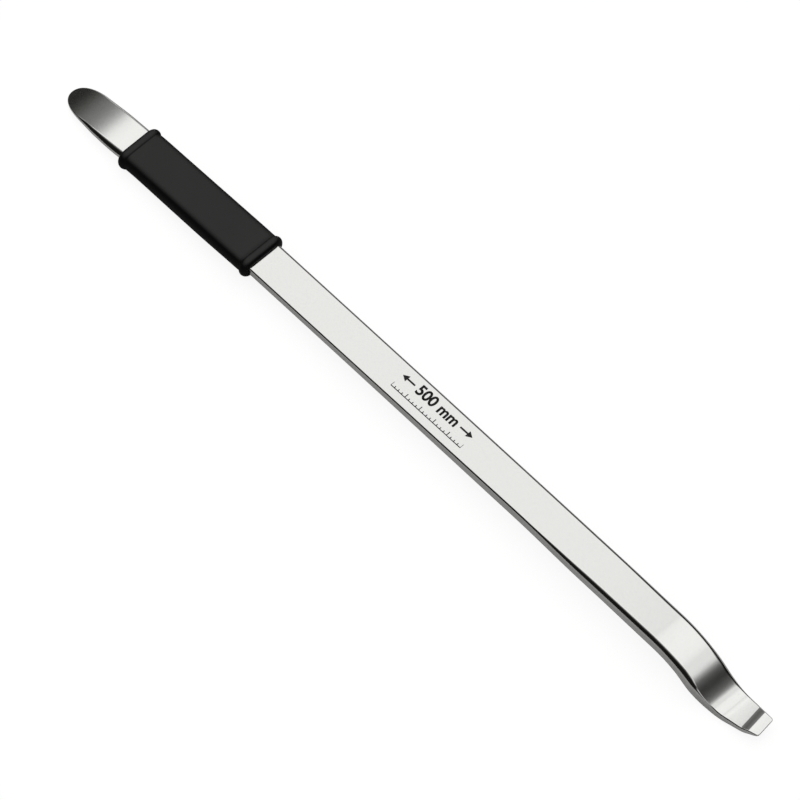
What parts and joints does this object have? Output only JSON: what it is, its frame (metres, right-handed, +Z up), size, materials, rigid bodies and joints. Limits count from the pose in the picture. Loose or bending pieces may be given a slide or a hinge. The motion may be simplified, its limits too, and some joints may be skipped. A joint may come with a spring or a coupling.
{
  "type": "tyre lever",
  "caption": "Long flat steel tyre lever with a rounded spoon tip, a black rubber grip sleeve beside it, and an offset hook with a low slanted catch at the other end.",
  "frame": {"origin": "under the middle of the lever's outline, on the bench that it lies on", "axes": "+X along the lever, towards the hook; +Y across it; +Z up, out of its top face"},
  "size_m": [0.4988, 0.0276, 0.0241],
  "materials": {
    "steel": "satin, fine pearled grain",
    "rubber": "matte"
  },
  "bodies": {
    "root": {"lever_bar": "steel", "grip_sleeve": "rubber"}
  },
  "joints": []
}
